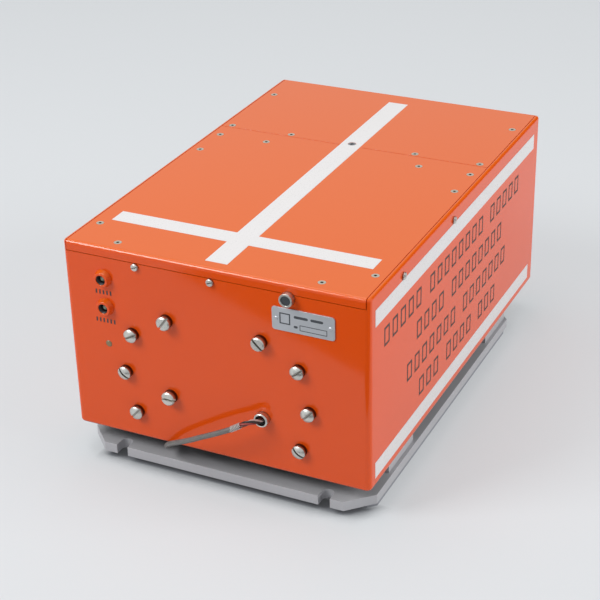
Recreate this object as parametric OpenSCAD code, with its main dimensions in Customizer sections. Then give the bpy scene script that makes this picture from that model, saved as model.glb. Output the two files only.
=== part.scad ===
// Flight data recorder: a painted metal case with two screwed lids, a crash-protected
// memory capsule behind the front wall, an electronics stack and a notched mounting plate.
// Millimetres, +Z up, +Y to the rear, origin in the middle of the plate's underside.

/* [Case] */
// Width over the side walls
case_w = 236; // [212:1:260]
// Depth from the front face to the rear face
case_d = 357; // [325:1:400]
// Height of the case without its mounting plate
case_h = 151; // [136:1:175]
// Thickness of the case walls
wall_t = 2.6; // [2.2:0.1:3.2]
// Thickness of the case floor
floor_t = 4; // [3:0.5:6]
// Radius of the upright case corners
corner_r = 4; // [3.5:0.5:7]
// Radius along the bottom edges
bottom_r = 3; // [1.5:0.5:3.5]

/* [Lids] */
// Thickness of the lid sheet
lid_t = 2; // [1.6:0.1:2.4]
// Height of the lip that a lid turns down over the end wall
lip_h = 7.5; // [6:0.5:8]
// Outer radius of the bend between a lid and its lip
lid_bend_r = 3; // [2.6:0.1:4]
// Gap round the lids
lid_gap = 0.6; // [0.4:0.1:0.8]
// Distance of the seam between the lids from the front face
seam_y = 235.5; // [220:0.5:245]
// Distance of the side screws from the edge of a lid
lid_screw_inset = 7.5; // [6:0.5:8]
// Distance of the first side screws from the front face
side_row_1 = 34; // [28:1:50]
// Distance of the second side screws from the front face
side_row_2 = 184; // [165:1:195]
// Distance of the front row of lid screws from the front face
front_row_y = 11; // [9.5:0.5:14]
// Half spacing of the front row of lid screws
front_row_x = 78.6; // [68:0.2:90]
// Distance of the front lid's last row ahead of the seam
seam_row_front = 17.5; // [12:0.5:22]
// Half spacing of the front lid's last row
seam_row_front_x = 65.5; // [40:0.5:85]
// Distance of the rear lid's first row behind the seam
seam_row_rear = 4.2; // [3.8:0.1:8]
// Half spacing of the rear lid's first row
seam_row_rear_x = 53.7; // [40:0.1:85]
// Distance of the rear lid's last screws from the rear face
rear_row_y = 39.6; // [20:0.2:60]

/* [Rails] */
// Width of the rails that carry the lids
rail_w = 14; // [12:0.5:18]
// Height of the rails and of the front bar
rail_h = 14; // [12:0.5:16]
// Thickness of the bar under the seam
seam_bar_t = 5; // [4:0.5:8]

/* [Mounting plate] */
// Width of the plate
plate_w = 231; // [226:1:250]
// Length of the plate
plate_l = 318; // [286:1:345]
// Thickness of the plate
plate_t = 7.5; // [6:0.5:10]
// Corner chamfer of the plate
plate_chamfer = 18; // [10:1:24]
// Half spacing of the bolt notches
notch_x = 82.5; // [70:0.5:88]
// Width of a bolt notch
notch_w = 9; // [7:0.5:11]
// Depth of a bolt notch
notch_l = 11; // [9:0.5:14]
// Height of the spacer pads between plate and case
stand_h = 13; // [11:0.5:18]
// Length of a spacer pad
pad_l = 46.8; // [36:0.2:50]
// Width of a spacer pad
pad_w = 30; // [22:1:34]
// Distance of the front pads from the front face
pad_front_y = 46.5; // [40:0.5:60]
// Distance of the rear pads from the plate's rear edge
pad_rear_inset = 17.8; // [15:0.2:40]

/* [Front panel] */
// Radius of the circle of capsule screws
ring_r = 72.7; // [71:0.1:74]
// Height of that circle's centre above the case bottom
ring_z = 54.2; // [52:0.2:56]
// Angle between neighbouring capsule screws
ring_step = 26; // [22:1:29]
// Head diameter of a capsule screw
ring_head_d = 10.2; // [9:0.1:11]
// Half spacing of the clamp screws
clamp_x = 36.9; // [33:0.1:40]
// Height of the lower clamp screw and of the lead gland
clamp_low_z = 41.6; // [39:0.2:46]
// Height of the upper clamp screws
clamp_high_z = 102.6; // [99:0.2:104]
// Head diameter of a clamp screw
clamp_head_d = 10.6; // [9.5:0.1:11.5]
// Distance of the lamps outside the capsule's flange
lamp_clear = 5.3; // [4.5:0.1:8]
// Distance of the upper lamp below the case top
lamp_drop = 24.6; // [22:0.2:27]
// Distance between the two lamps
lamp_pitch = 22.7; // [18:0.1:25]
// Height of the small flush lamp
pilot_z = 73.8; // [66:0.2:84]
// Half spacing of the screws under the front lip
lip_screw_x = 59; // [40:0.5:64]
// Distance of the nameplate's middle below the case top
nameplate_drop = 27; // [26:0.5:32]
// Width of the nameplate
nameplate_w = 46.5; // [40:0.5:50]
// Height of the nameplate
nameplate_h = 17.5; // [12:0.5:18]
// Distance of the nameplate's middle from the right face
nameplate_inset = 48.2; // [42:0.2:52]

/* [Memory capsule] */
// Thickness of the capsule's mounting flange
flange_t = 12; // [11:0.5:16]
// Length of the capsule's shell behind the flange
capsule_l = 120; // [100:1:122]
// Wall of the capsule's shell
capsule_wall = 10; // [9.5:0.5:13]
// Thickness of the capsule's end cap
capsule_cap_t = 13; // [12:0.5:14]
// Thickness of the heat insulation all round the memory
insulation_t = 14; // [10:0.5:16]

/* [Electronics] */
// Width of the circuit boards
board_w = 140; // [120:1:160]
// Distance between the capsule's end and the electronics
stack_gap = 16.8; // [12:0.2:30]
// Clear height between the boards
board_pitch = 25; // [22:0.5:28]

/* [Rear connector] */
// Side of the connector's square flange
socket_flange = 34; // [32:0.5:40]
// Outer diameter of the connector's shell
socket_d = 26; // [22:0.5:27]
// Length of the shell outside the flange
socket_l = 14; // [12:0.5:20]

/* [Markings] */
// Width of the long stripe on the lids
stripe_w = 17; // [12:0.5:24]
// Width of the cross bar on the front lid
cross_w = 15.7; // [12:0.1:20]
// Width of the stripes on the sides
side_stripe_w = 12.7; // [10:0.1:14]
// Thickness of the marking film
film_t = 0.15; // [0.1:0.05:0.3]

/* [Hidden] */
$fn = 48;
// Radial clearance between a screw and its hole, and round a fitted piece
fit = 0.1;
// Clearance at the ends of bars that lie between two pieces
end_gap = 0.2;
// Extra length that makes a cut run past a face
over = 1;

// Main planes, with the case frame at the front face, the centre line and the case bottom
front_y = -plate_l / 2;
case_z = plate_t + stand_h;
lid_w = case_w - 2 * wall_t - 2 * lid_gap;
lid_under = case_h - lid_t;
inner_w = case_w - 2 * wall_t;
rim_land = 0.2;
rim_r = min(corner_r, wall_t - rim_land);
inner_corner_min_r = 0.5;
inner_corner_r = max(corner_r - wall_t, inner_corner_min_r);

// Proportions of screw heads: bevel and slot as shares of the head they are cut in
head_bevel_share = 0.08;
slot_w_share = 0.15;
slot_depth_share = 0.42;
dome_slot_depth_share = 0.45;
socket_depth_share = 0.7;

// Lid screws, countersunk
lid_screw_d = 3;
lid_head_d = 5.6;
lid_screw_l = 10;
lid_socket_d = 2.4;
lid_screw_x = lid_w / 2 - lid_screw_inset;
front_lid_places = concat(
    [for (s = [-1, 1], y = [side_row_1, side_row_2, seam_y - seam_row_front]) [s * lid_screw_x, y]],
    [for (s = [-1, 1]) [s * front_row_x, front_row_y]],
    [for (s = [-1, 1]) [s * seam_row_front_x, seam_y - seam_row_front]]);
rear_lid_places = concat(
    [for (s = [-1, 1], y = [seam_y + seam_row_rear, case_d - rear_row_y]) [s * lid_screw_x, y]],
    [for (s = [-1, 1]) [s * seam_row_rear_x, seam_y + seam_row_rear]]);
// Slotted screw in the middle of the seam
seam_screw_place = [0, seam_y + seam_row_rear];
seam_screw_d = 3;
seam_head_d = 6.4;
seam_socket_d = 3.4;

// Rails, front bar and seam bar
rail_end_gap = 0.6;
rail_start = wall_t + inner_corner_r + rail_end_gap;
rail_in_x = inner_w / 2 - rail_w;
rail_mid_z = lid_under - rail_h / 2;
bar_margin = 6;
bar_back_y = front_row_y + bar_margin;
seam_bar_margin = 6;
seam_web_t = 4;
seam_web_h = 16;
// Screws through the side walls into the rails
rail_screw_rows = [57.4, 154.8];
rail_screw_d = 3;
rail_head_d = 5.4;
rail_head_h = 1.6;
rail_slot_angle = 60;
rail_screw_l = 10;
// Screws through the front wall into the front bar
lip_screw_drop = 2.4;
lip_screw_z = case_h - lip_h - lid_gap - lip_screw_drop;
lip_screw_d = 3;
lip_head_d = 5.5;
lip_head_h = 2;
lip_screw_l = 12;
lip_slot_angle = 20;

// Seal cup round the third of those screws
cup_d = 10;
cup_h = 5;
cup_floor = 1.2;
cup_bore = 7.2;
mastic_set_back = 0.5;
mastic_h = cup_h - cup_floor - mastic_set_back;

// Plate and pads
pad_inset = 2.8;
pad_rear_y = plate_l - pad_rear_inset - pad_l;
pad_mid_x = plate_w / 2 - pad_inset - pad_w / 2;
base_screw_d = 6;
base_head_d = 11.4;
base_socket_d = 4;
base_screw_short = 0.5;
base_screw_l = plate_t + stand_h + floor_t - base_screw_short;
base_screw_places = [for (s = [-1, 1], y = [pad_front_y, pad_rear_y], k = [0.25, 0.75])
    [s * pad_mid_x, front_y + y + k * pad_l]];

// Capsule screws, each with the angle of its slot
ring_screw_d = 5;
flange_screw_short = 2;
ring_screw_l = wall_t + flange_t - flange_screw_short;
ring_skirt_h = 4.2;
ring_dome_h = 1.8;
ring_places = [
    [180, -43], [180 - ring_step, 27], [180 + ring_step, 47],
    [0, 45], [ring_step, 37], [-ring_step, -38]];
// Clamp screws, each as side, height and angle of its slot
clamp_screw_d = 6;
clamp_head_h = 6;
clamp_screw_l = wall_t + flange_t - flange_screw_short;
blind_end = 1;
clamp_places = [
    [-clamp_x, clamp_high_z, 54], [clamp_x, clamp_high_z, -44], [-clamp_x, clamp_low_z, -2]];
flange_edge = 8;
flange_r = ring_r + flange_edge;
capsule_clear = 1.2;
capsule_d = 2 * (ring_z - floor_t - capsule_clear);
capsule_bore = capsule_d - 2 * capsule_wall;
capsule_y = wall_t + flange_t;
capsule_end_y = capsule_y + capsule_l + capsule_cap_t;
cap_spigot = 4;
cap_screw_d = 5;
cap_screw_bite = 12;
cap_screw_l = capsule_cap_t + cap_screw_bite;
cap_screw_r = (capsule_d - capsule_wall) / 2;
cap_screw_angles = [30 : 60 : 330];
cap_head_d = 8.5;
cap_head_h = 5;
cap_socket_d = 4.6;
cap_socket_depth = 2.5;
memory_d = capsule_bore - 2 * insulation_t - 4 * fit;
memory_l = capsule_l - cap_spigot - 2 * insulation_t - 2 * end_gap;
memory_lid_t = 3;
memory_groove = 1.2;

// Lamps in the front panel
lamp_x = -flange_r - lamp_clear;
lamp_high_z = case_h - lamp_drop;
lamp_low_z = lamp_high_z - lamp_pitch;
bezel_base_d = 14;
bezel_rim_d = 10.8;
bezel_h = 4.2;
bezel_bore = 7.4;
bezel_barrel_d = 9;
lamp_board_y = capsule_y + 1;
bezel_barrel_l = lamp_board_y;
lamp_collar_t = 1.2;
lamp_d = 5;
lamp_depth = 2.4;
pilot_d = 5;
pilot_proud = 0.4;
pilot_bevel = 0.5;
lamp_board_t = 1.6;
lamp_board_gap = 7.4;
lamp_board_edge = 4;
lamp_board_left = lamp_board_gap - inner_w / 2;
lamp_board_right = lamp_x + lamp_board_edge;
lamp_board_foot = 8;
lamp_board_head = 4.5;
lamp_board_low = pilot_z - lamp_board_foot;
lamp_board_high = lamp_high_z + lamp_board_head;

// Nameplate and its rivets
nameplate_x = case_w / 2 - nameplate_inset;
nameplate_z = case_h - nameplate_drop;
nameplate_t = 0.8;
nameplate_r = 2.2;
rivet_d = 2;
rivet_head_d = 3;
rivet_head_h = 0.6;
rivet_l = nameplate_t + wall_t;
rivet_inset = 3.2;
rivet_x = nameplate_w / 2 - rivet_inset;

// Lead gland, its rubber bush and the lead
gland_d = 10.8;
gland_bore = 8;
gland_proud = 5;
gland_thread_d = 9.6;
gland_bevel = 0.6;
gland_bite = 8;
gland_l = wall_t + gland_bite;
bush_set_back = 2;
bush_l = 6;
bush_foot = gland_proud - bush_set_back - bush_l;
lead_d = 4;
lead_room = 0.4;
lead_sides = 10;
// Where the lead passes up through the floor
entry_x = -44.5;
entry_y = 41.5;
// Route of the lead out of the gland, across the front and under the case. Each point gives its
// share of the way across, its depth, and its height as a share of the gland's height above the
// case bottom, or of the stand's height below it.
lead_path = [
    [0, -1, 1], [0, -4.5, 1], [0.009, -8.8, 1.036], [0.04, -12, 1.058], [0.09, -13.8, 1.026],
    [0.144, -14.6, 0.966], [0.231, -15.4, 0.864], [0.354, -15.9, 0.738], [0.441, -15.7, 0.649],
    [0.532, -15, 0.553], [0.622, -14.2, 0.452], [0.716, -12.9, 0.351], [0.819, -10.6, 0.238],
    [0.902, -7.4, 0.13], [0.955, -3.6, 0.02], [0.988, 1, -0.231], [1, 9, -0.5], [1, 17, -0.577],
    [1, 25, -0.577], [1, 31, -0.538], [1, 36.5, -0.385], [1, 40, -0.115], [1, entry_y, 0.096],
    [1, entry_y, 0.192]];
lead_route = [for (p = lead_path)
    [clamp_x + p[0] * (entry_x - clamp_x), p[1], p[2] * (p[2] > 0 ? clamp_low_z : stand_h)]];
lead_start = lead_route[0];
entry = lead_route[len(lead_route) - 1];
grommet_bore = 9.6;
grommet_neck_d = 12.6;
grommet_lip_d = 16;
grommet_lip_t = 1.5;
terminal_w = 20;
terminal_l = 24;
terminal_h = 10;

// Electronics
tray_t = 1.5;
tray_wall_h = 22;
tray_margin = 5;
tray_back_gap = 20;
tray_screw_inset = 28;
tray_w = board_w + 2 * tray_margin;
tray_l = case_d - wall_t - tray_back_gap - stack_gap - capsule_end_y;
board_l = tray_l - 2 * tray_margin;
board_t = 1.6;
first_spacer_l = 14;
board_hole_inset = 6;
board_screw_d = 3;
spacer_d = 6;
tray_screw_d = 4;
tray_head_d = 7;
tray_head_h = 2.6;
board_screw_short = 1;
board_mid_y = case_d - wall_t - tray_back_gap - tray_l / 2;
board_spacer_places = [for (s = [-1, 1], k = [-1, 1])
    [s * (board_w / 2 - board_hole_inset), board_mid_y + k * (board_l / 2 - board_hole_inset)]];
tray_screw_places = [for (s = [-1, 1], k = [-1, 1])
    [s * (tray_w / 2 - tray_screw_inset), board_mid_y + k * (tray_l / 2 - tray_screw_inset)]];

// Rear connector and bonding stud
socket_x = -45;
socket_z = 82;
socket_flange_t = 3;
socket_flange_r = 2;
socket_wall = 2;
socket_inner_l = 10;
gasket_t = 1;
socket_step = 2;
socket_hole_d = socket_d - 2 * socket_step;
socket_bore = socket_hole_d - 2 * socket_wall;
insert_depth = 9;
contact_d = 1.6;
contact_depth = 3;
contact_ring_r = 5.5;
socket_screw_inset = 3.5;
socket_screw_pitch = socket_flange - 2 * socket_screw_inset;
socket_screw_d = 3;
socket_head_d = 5.2;
socket_head_h = 1.8;
socket_screw_bite = 3;
socket_screw_l = socket_flange_t + gasket_t + wall_t + socket_screw_bite;
socket_screw_places = [for (x = [-1, 1], z = [-1, 1]) [x, z] * socket_screw_pitch / 2];
stud_x = 62;
stud_z = 30;
stud_d = 6;
stud_out = 16;
stud_tip = 1;
stud_head_d = 10;
stud_head_h = 4;
stud_nut_w = 10;
stud_nut_h = 4.8;
stud_washer_d = 12.5;
stud_washer_t = 1.4;

// Markings
stripe_start = 9.6;
stripe_end = 19.8;
cross_inset = 12.6;
cross_y = 41.8;
side_stripe_start = 8.7;
side_stripe_end = 14;
side_stripe_low_z = 7.2;
side_stripe_high_z = rail_mid_z - rail_head_d / 2 - end_gap - side_stripe_w;

orange = [0.86, 0.29, 0.13];
white = [0.92, 0.92, 0.93];
plate_grey = [0.62, 0.61, 0.62];
steel = [0.78, 0.78, 0.76];
dark_steel = [0.32, 0.32, 0.33];
aluminium_grey = [0.72, 0.73, 0.75];
black = [0.08, 0.08, 0.09];
board_green = [0.10, 0.36, 0.20];
insulation_white = [0.88, 0.86, 0.80];

// Places on the case

module in_case() {
    translate([0, front_y, case_z]) children();
}

module on_front(x, z) {
    in_case() translate([x, 0, z]) rotate([90, 0, 0]) children();
}

module on_rear(x, z) {
    in_case() translate([x, case_d, z]) rotate([90, 0, 180]) children();
}

module on_top(place) {
    in_case() translate([place[0], place[1], case_h]) children();
}

module on_side(side, y, z) {
    in_case() translate([side * case_w / 2, y, z]) rotate([0, side * 90, 0]) children();
}

module on_floor(place) {
    in_case() translate([place[0], place[1], floor_t]) children();
}

// Shapes that several pieces share

module rounded_rect(w, d, r) {
    square([w - 2 * r, d], center = true);
    square([w, d - 2 * r], center = true);
    for (x = [-1, 1], y = [-1, 1]) translate([x * (w / 2 - r), y * (d / 2 - r)]) circle(r);
}

// Upright rectangle from y = 0 with one radius at its foot and one at its top
module soft_rect(w, h, r_low, r_high) {
    translate([-w / 2, r_low]) square([w, h - r_low - r_high]);
    translate([-w / 2 + r_low, 0]) square([w - 2 * r_low, r_low]);
    translate([-w / 2 + r_high, h - r_high]) square([w - 2 * r_high, r_high]);
    for (s = [-1, 1]) {
        translate([s * (w / 2 - r_low), r_low]) circle(r_low);
        translate([s * (w / 2 - r_high), h - r_high]) circle(r_high);
    }
}

module shank(d, l) {
    translate([0, 0, -l]) cylinder(d = d, h = l);
}

// Hole for a shank, from a face inwards
module bore(d, l) {
    translate([0, 0, -l]) cylinder(d = d + 2 * fit, h = l + over);
}

module countersunk_screw(d, head_d, l, socket_d) {
    head_h = (head_d - d) / 2;
    difference() {
        union() {
            translate([0, 0, -head_h]) cylinder(d1 = d, d2 = head_d, h = head_h);
            shank(d, l);
        }
        translate([0, 0, -head_h * socket_depth_share]) cylinder(d = socket_d, h = head_h, $fn = 6);
    }
}

module countersink(d, head_d, l) {
    head_h = (head_d - d) / 2;
    bore(d, l);
    translate([0, 0, -head_h]) cylinder(d1 = d + 2 * fit, d2 = head_d + 2 * fit, h = head_h);
    cylinder(d = head_d + 2 * fit, h = over);
}

// Slot across the top of a head, seen from above
module slot(d, depth, angle) {
    w = d * slot_w_share;
    rotate(angle) translate([-d, -w / 2, -depth]) cube([2 * d, w, depth + over]);
}

// Head with a flat top, a bevelled rim and a slot
module cheese_head(d, h, angle) {
    bevel = d * head_bevel_share;
    difference() {
        union() {
            cylinder(d = d, h = h - bevel);
            translate([0, 0, h - bevel]) cylinder(d1 = d, d2 = d - 2 * bevel, h = bevel);
        }
        translate([0, 0, h]) slot(d, h * slot_depth_share, angle);
    }
}

// Head with a domed top and a slot
module round_head(d, skirt_h, dome_h, angle) {
    h = skirt_h + dome_h;
    ball_r = (d * d / 4 + dome_h * dome_h) / (2 * dome_h);
    difference() {
        union() {
            cylinder(d = d, h = skirt_h);
            intersection() {
                translate([0, 0, h - ball_r]) sphere(ball_r);
                translate([0, 0, skirt_h]) cylinder(d = d, h = dome_h + over);
            }
        }
        translate([0, 0, h]) slot(d, h * dome_slot_depth_share, angle);
    }
}

// Places of the round holes in the front wall
module ring_holes(l) {
    for (p = ring_places)
        on_front(ring_r * cos(p[0]), ring_z + ring_r * sin(p[0])) bore(ring_screw_d, l);
}

module clamp_holes(l) {
    for (p = clamp_places) on_front(p[0], p[1]) bore(clamp_screw_d, l);
}

// Mounting plate and pads

module plate_outline() {
    x = plate_w / 2;
    y = plate_l / 2;
    c = plate_chamfer;
    difference() {
        polygon([[-x, c - y], [c - x, -y], [x - c, -y], [x, c - y],
            [x, y - c], [x - c, y], [c - x, y], [-x, y - c]]);
        for (s = [-1, 1], e = [-1, 1]) translate([s * notch_x, e * (y - notch_l + notch_w / 2)]) {
            circle(d = notch_w);
            translate([-notch_w / 2, e > 0 ? 0 : -notch_l]) square([notch_w, notch_l]);
        }
    }
}

module base_plate() {
    color(plate_grey) difference() {
        linear_extrude(plate_t) plate_outline();
        for (p = base_screw_places) translate([p[0], p[1], 0]) mirror([0, 0, 1])
            countersink(base_screw_d, base_head_d, plate_t + over);
    }
}

module spacer_pads() {
    color(plate_grey) difference() {
        for (s = [-1, 1], y = [pad_front_y, pad_rear_y])
            translate([s * pad_mid_x - pad_w / 2, front_y + y, plate_t]) cube([pad_w, pad_l, stand_h]);
        for (p = base_screw_places) translate([p[0], p[1], plate_t + stand_h])
            bore(base_screw_d, stand_h + over);
    }
}

module base_screws() {
    color(steel) for (p = base_screw_places) translate([p[0], p[1], 0]) mirror([0, 0, 1])
        countersunk_screw(base_screw_d, base_head_d, base_screw_l, base_socket_d);
}

// Case

module case_block() {
    long = case_d - 2 * corner_r;
    wide = case_w - 2 * corner_r;
    translate([0, case_d - corner_r, 0]) rotate([90, 0, 0]) linear_extrude(long)
        soft_rect(case_w, case_h, bottom_r, rim_r);
    translate([0, case_d / 2, 0]) rotate([90, 0, 90]) linear_extrude(wide, center = true)
        soft_rect(case_d, case_h, bottom_r, rim_r);
    for (x = [-1, 1], y = [-1, 1]) translate([x * wide / 2, case_d / 2 + y * long / 2, 0])
        rotate_extrude() intersection() {
            soft_rect(2 * corner_r, case_h, bottom_r, rim_r);
            square([corner_r, case_h]);
        }
}

// Room for the lip of a lid in an end wall
module lip_recess() {
    translate([-inner_w / 2, -over, case_h - lip_h - lid_gap])
        cube([inner_w, wall_t + corner_r + over, lip_h + lid_gap + over]);
}

module case_holes() {
    ring_holes(wall_t + over);
    clamp_holes(wall_t + over);
    on_front(clamp_x, clamp_low_z) bore(gland_thread_d, wall_t + over);
    for (z = [lamp_high_z, lamp_low_z]) on_front(lamp_x, z) bore(bezel_barrel_d, wall_t + over);
    on_front(lamp_x, pilot_z) bore(pilot_d, wall_t + over);
    for (s = [-1, 0, 1]) on_front(s * lip_screw_x, lip_screw_z) bore(lip_screw_d, wall_t + over);
    for (s = [-1, 1]) on_front(nameplate_x + s * rivet_x, nameplate_z) bore(rivet_d, wall_t + over);
    for (s = [-1, 1], y = rail_screw_rows) on_side(s, y, rail_mid_z) bore(rail_screw_d, wall_t + over);
    for (p = base_screw_places) translate([p[0], p[1], case_z + floor_t])
        bore(base_screw_d, floor_t + over);
    for (p = tray_screw_places) on_floor(p) bore(tray_screw_d, floor_t + over);
    on_floor(entry) bore(grommet_neck_d, floor_t + over);
    on_rear(socket_x, socket_z) bore(socket_hole_d, wall_t + over);
    for (p = socket_screw_places) on_rear(socket_x + p[0], socket_z + p[1])
        bore(socket_screw_d, wall_t + over);
    on_rear(stud_x, stud_z) bore(stud_d, wall_t + over);
}

module case_body() {
    color(orange) difference() {
        in_case() difference() {
            case_block();
            translate([0, case_d / 2, floor_t]) linear_extrude(case_h)
                rounded_rect(inner_w, case_d - 2 * wall_t, inner_corner_r);
            lip_recess();
            translate([0, case_d, 0]) mirror([0, 1, 0]) lip_recess();
        }
        case_holes();
    }
}

// Rails and bars under the lids

module rail(side) {
    color(aluminium_grey) difference() {
        in_case() translate([side > 0 ? rail_in_x : -inner_w / 2, rail_start, lid_under - rail_h])
            cube([rail_w, case_d - 2 * rail_start, rail_h]);
        for (p = concat(front_lid_places, rear_lid_places)) if (abs(p[0]) == lid_screw_x)
            on_top(p) bore(lid_screw_d, lid_screw_l + over);
        for (y = rail_screw_rows) on_side(side, y, rail_mid_z) bore(rail_screw_d, rail_screw_l + over);
    }
}

module left_rail() {
    rail(-1);
}

module right_rail() {
    rail(1);
}

module rail_screws() {
    color(steel) for (s = [-1, 1], y = rail_screw_rows) on_side(s, y, rail_mid_z) {
        cheese_head(rail_head_d, rail_head_h, rail_slot_angle);
        shank(rail_screw_d, rail_screw_l);
    }
}

module front_bar() {
    bar_w = 2 * (rail_in_x - end_gap);
    bend_room = lid_bend_r + end_gap;
    color(aluminium_grey) difference() {
        in_case() difference() {
            translate([-bar_w / 2, wall_t, lid_under - rail_h]) cube([bar_w, bar_back_y - wall_t, rail_h]);
            translate([-bar_w, wall_t - over, case_h - bend_room])
                cube([2 * bar_w, bend_room - wall_t + over, bend_room]);
        }
        for (s = [-1, 1]) on_top([s * front_row_x, front_row_y]) bore(lid_screw_d, lid_screw_l + over);
        for (s = [-1, 0, 1]) on_front(s * lip_screw_x, lip_screw_z) bore(lip_screw_d, lip_screw_l + over);
    }
}

// The third of these screws holds the seal cup
module lip_screws() {
    color(steel) for (s = [-1, 0, 1]) on_front(s * lip_screw_x, lip_screw_z)
        translate([0, 0, s > 0 ? cup_floor : 0]) {
            cheese_head(lip_head_d, lip_head_h, lip_slot_angle);
            shank(lip_screw_d, lip_screw_l);
        }
}

module seam_bar() {
    bar_w = 2 * (rail_in_x - end_gap);
    y_low = seam_y - seam_row_front - seam_bar_margin;
    y_high = seam_y + seam_row_rear + seam_bar_margin;
    web_h = seam_bar_t + seam_web_h;
    color(aluminium_grey) difference() {
        in_case() {
            translate([-bar_w / 2, y_low, lid_under - seam_bar_t])
                cube([bar_w, y_high - y_low, seam_bar_t]);
            translate([-bar_w / 2, (y_low + y_high - seam_web_t) / 2, lid_under - web_h])
                cube([bar_w, seam_web_t, web_h]);
        }
        for (s = [-1, 1]) {
            on_top([s * seam_row_front_x, seam_y - seam_row_front]) bore(lid_screw_d, lid_screw_l + over);
            on_top([s * seam_row_rear_x, seam_y + seam_row_rear]) bore(lid_screw_d, lid_screw_l + over);
        }
        on_top(seam_screw_place) bore(seam_screw_d, lid_screw_l + over);
    }
}

// Lids, each a sheet with one edge bent down

module bent_sheet(l) {
    inner_r = lid_bend_r - lid_t;
    difference() {
        union() {
            translate([lid_bend_r, -lip_h]) square([l - lid_bend_r, lip_h]);
            translate([0, -lip_h]) square([lid_bend_r, lip_h - lid_bend_r]);
            translate([lid_bend_r, -lid_bend_r]) circle(lid_bend_r);
        }
        translate([lid_bend_r, -lip_h - over]) square([l, lip_h + over - lid_t]);
        translate([lid_t, -lip_h - over]) square([inner_r + over, lip_h + over - lid_bend_r]);
        translate([lid_bend_r, -lid_bend_r]) circle(inner_r);
    }
}

module lid_sheet(l) {
    translate([0, 0, case_h]) rotate([90, 0, 90]) linear_extrude(lid_w, center = true) bent_sheet(l);
}

module front_lid() {
    color(orange) difference() {
        in_case() lid_sheet(seam_y - lid_gap / 2);
        for (p = front_lid_places) on_top(p) countersink(lid_screw_d, lid_head_d, lid_t + over);
    }
}

module rear_lid() {
    color(orange) difference() {
        in_case() translate([0, case_d, 0]) mirror([0, 1, 0]) lid_sheet(case_d - seam_y - lid_gap / 2);
        for (p = rear_lid_places) on_top(p) countersink(lid_screw_d, lid_head_d, lid_t + over);
        on_top(seam_screw_place) countersink(seam_screw_d, seam_head_d, lid_t + over);
    }
}

module front_lid_screws() {
    color(steel) for (p = front_lid_places) on_top(p)
        countersunk_screw(lid_screw_d, lid_head_d, lid_screw_l, lid_socket_d);
}

module rear_lid_screws() {
    color(steel) for (p = rear_lid_places) on_top(p)
        countersunk_screw(lid_screw_d, lid_head_d, lid_screw_l, lid_socket_d);
}

module seam_screw() {
    color(dark_steel) on_top(seam_screw_place)
        countersunk_screw(seam_screw_d, seam_head_d, lid_screw_l, seam_socket_d);
}

// White marking film on the lids and sides

module top_marking() {
    cross_l = lid_w - 2 * cross_inset;
    color(white) difference() {
        in_case() translate([0, 0, case_h]) {
            translate([-stripe_w / 2, stripe_start, 0])
                cube([stripe_w, case_d - stripe_start - stripe_end, film_t]);
            translate([-cross_l / 2, cross_y, 0]) cube([cross_l, cross_w, film_t]);
        }
        on_top(seam_screw_place) translate([0, 0, -over])
            cylinder(d = seam_head_d + 4 * fit, h = 2 * over);
    }
}

module side_marking(side) {
    color(white) for (z = [side_stripe_low_z, side_stripe_high_z])
        on_side(side, 0, z) translate([side > 0 ? -side_stripe_w : 0, side_stripe_start, 0])
            cube([side_stripe_w, case_d - side_stripe_start - side_stripe_end, film_t]);
}

module right_marking() {
    side_marking(1);
}

module left_marking() {
    side_marking(-1);
}

// Crash-protected memory capsule

module in_capsule(y) {
    in_case() translate([0, y, ring_z]) rotate([-90, 0, 0]) children();
}

module capsule_body() {
    low = floor_t + capsule_clear;
    high = clamp_high_z + flange_edge;
    color(dark_steel) difference() {
        union() {
            intersection() {
                in_capsule(wall_t) cylinder(r = flange_r, h = flange_t);
                in_case() translate([-flange_r, wall_t, low]) cube([2 * flange_r, flange_t, high - low]);
            }
            in_capsule(capsule_y - over) cylinder(d = capsule_d, h = capsule_l + over);
        }
        in_capsule(capsule_y) cylinder(d = capsule_bore, h = capsule_l + over);
        ring_holes(wall_t + flange_t + over);
        clamp_holes(wall_t + flange_t - blind_end);
        on_front(clamp_x, clamp_low_z) bore(gland_thread_d, gland_l + fit);
        at_cap_screws() bore(cap_screw_d, cap_screw_l);
    }
}

// Places of the cap's screws, with z = 0 on the cap's outer face
module at_cap_screws() {
    for (a = cap_screw_angles) in_capsule(capsule_end_y) rotate(a)
        translate([cap_screw_r, 0, 0]) children();
}

module capsule_cap() {
    color(dark_steel) difference() {
        union() {
            in_capsule(capsule_y + capsule_l) cylinder(d = capsule_d, h = capsule_cap_t);
            in_capsule(capsule_y + capsule_l - cap_spigot)
                cylinder(d = capsule_bore - 2 * fit, h = cap_spigot + over);
        }
        at_cap_screws() bore(cap_screw_d, capsule_cap_t + over);
        at_cap_screws() bore(cap_head_d, cap_head_h);
    }
}

module capsule_cap_screws() {
    color(steel) at_cap_screws() difference() {
        union() {
            shank(cap_screw_d, cap_screw_l);
            shank(cap_head_d, cap_head_h);
        }
        translate([0, 0, -cap_socket_depth])
            cylinder(d = cap_socket_d, h = cap_socket_depth + over, $fn = 6);
    }
}

module insulation_cup() {
    cup_l = capsule_l - cap_spigot - insulation_t - end_gap;
    color(insulation_white) difference() {
        in_capsule(capsule_y) cylinder(d = capsule_bore - 2 * fit, h = cup_l);
        in_capsule(capsule_y + insulation_t) cylinder(d = memory_d + 2 * fit, h = cup_l);
    }
}

module insulation_plug() {
    color(insulation_white) in_capsule(capsule_y + capsule_l - cap_spigot - insulation_t)
        cylinder(d = capsule_bore - 2 * fit, h = insulation_t);
}

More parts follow.
